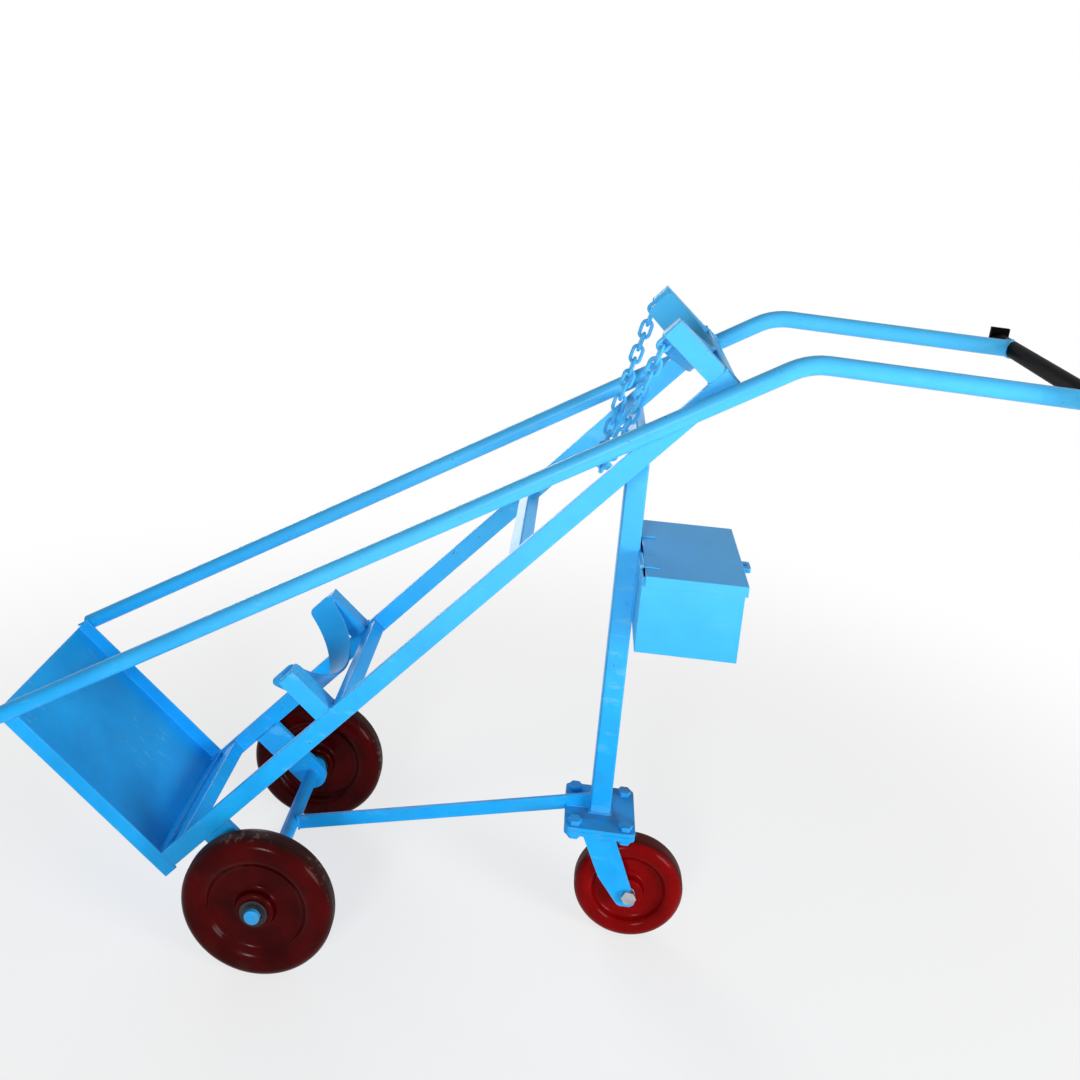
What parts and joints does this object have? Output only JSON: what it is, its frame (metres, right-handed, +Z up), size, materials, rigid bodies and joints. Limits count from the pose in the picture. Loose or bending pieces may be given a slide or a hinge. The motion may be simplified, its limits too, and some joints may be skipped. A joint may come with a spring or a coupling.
{
  "type": "gas cylinder trolley",
  "caption": "Blue tubular trolley that carries a gas cylinder at a slant, with tray, saddles, chain, main wheels, swivel castor, toolbox and cross handle.",
  "frame": {"origin": "on the ground under the middle of the bounding box", "axes": "+X from the tray towards the handle, +Y across to the right of the person pushing, +Z up"},
  "size_m": [1.2956, 0.4, 0.8991],
  "materials": {
    "blue_paint": "semi-gloss enamel",
    "red_wheel": "gloss enamel over cast iron",
    "castor_red": "gloss enamel over cast iron",
    "black_paint": "satin",
    "black_plastic": "matt",
    "zinc_steel": "zinc plated",
    "dark_steel": "blackened and oily",
    "bronze": "plain turned"
  },
  "bodies": {
    "frame": {"tray_floor": "blue_paint", "tray_back_strip": "blue_paint", "lower_rail_left": "blue_paint", "lower_rail_right": "blue_paint", "cross_tube_foot": "blue_paint", "cross_tube_lower": "blue_paint", "cross_tube_middle": "blue_paint", "cross_tube_leg": "blue_paint", "cross_tube_top": "blue_paint", "upper_rail_left": "blue_paint", "upper_rail_right": "blue_paint", "lower_post_left": "blue_paint", "lower_post_right": "blue_paint", "upper_post_left": "blue_paint", "upper_post_right": "blue_paint", "lower_saddle": "blue_paint", "upper_saddle": "blue_paint", "chain_eyes": "blue_paint", "axle_bracket_left": "blue_paint", "axle_bracket_right": "blue_paint", "wheel_axle": "blue_paint", "axle_collars": "blue_paint", "brace_bar": "blue_paint", "leg_tube": "blue_paint", "leg_plate": "blue_paint", "castor_plate": "blue_paint", "castor_bolts": "blue_paint", "castor_nuts": "blue_paint", "toolbox_body": "blue_paint", "toolbox_hinge_fixed": "blue_paint", "toolbox_lug": "blue_paint", "handle_crossbar": "black_paint", "crossbar_end_caps": "black_plastic", "axle_washers": "dark_steel", "axle_circlips": "dark_steel", "castor_kingpin": "zinc_steel", "castor_race_upper": "zinc_steel", "toolbox_hinge_pins": "zinc_steel"},
    "wheel_left_body": {"wheel_left": "red_wheel", "wheel_bush_left": "bronze"},
    "wheel_right_body": {"wheel_right": "red_wheel", "wheel_bush_right": "bronze"},
    "castor_swivel_body": {"castor_fork": "blue_paint", "castor_race_lower": "zinc_steel", "castor_balls": "zinc_steel", "castor_bush": "zinc_steel", "castor_axle_bolt": "zinc_steel", "castor_axle_nut": "zinc_steel"},
    "castor_wheel_body": {"castor_wheel": "castor_red"},
    "lid_body": {"toolbox_lid": "blue_paint", "toolbox_hinge_moving": "blue_paint", "lid_lug": "blue_paint"},
    "chain_body": {"chain": "blue_paint"}
  },
  "joints": [
    {"name": "wheel_left_spin", "type": "hinge", "parent": "frame", "child": "wheel_left_body", "pos_m": [-0.2737, -0.169, 0.1], "axis": [0, 1, 0], "continuous": true},
    {"name": "wheel_right_spin", "type": "hinge", "parent": "frame", "child": "wheel_right_body", "pos_m": [-0.2737, 0.169, 0.1], "axis": [0, 1, 0], "continuous": true},
    {"name": "castor_swivel", "type": "hinge", "parent": "frame", "child": "castor_swivel_body", "pos_m": [0.15775, 0, 0.163], "axis": [0, 0, 1], "continuous": true},
    {"name": "castor_wheel_spin", "type": "hinge", "parent": "castor_swivel_body", "child": "castor_wheel_body", "pos_m": [0.20775, 0, 0.075], "axis": [0, 1, 0], "continuous": true},
    {"name": "lid_hinge", "type": "hinge", "parent": "frame", "child": "lid_body", "pos_m": [0.17175, 0, 0.57705], "axis": [0, -1, 0], "range_deg": [0, 90]},
    {"name": "chain_swing", "type": "hinge", "parent": "frame", "child": "chain_body", "pos_m": [0.16347, 0, 0.86716], "axis": [0, 1, 0], "range_deg": [0, 115]}
  ]
}
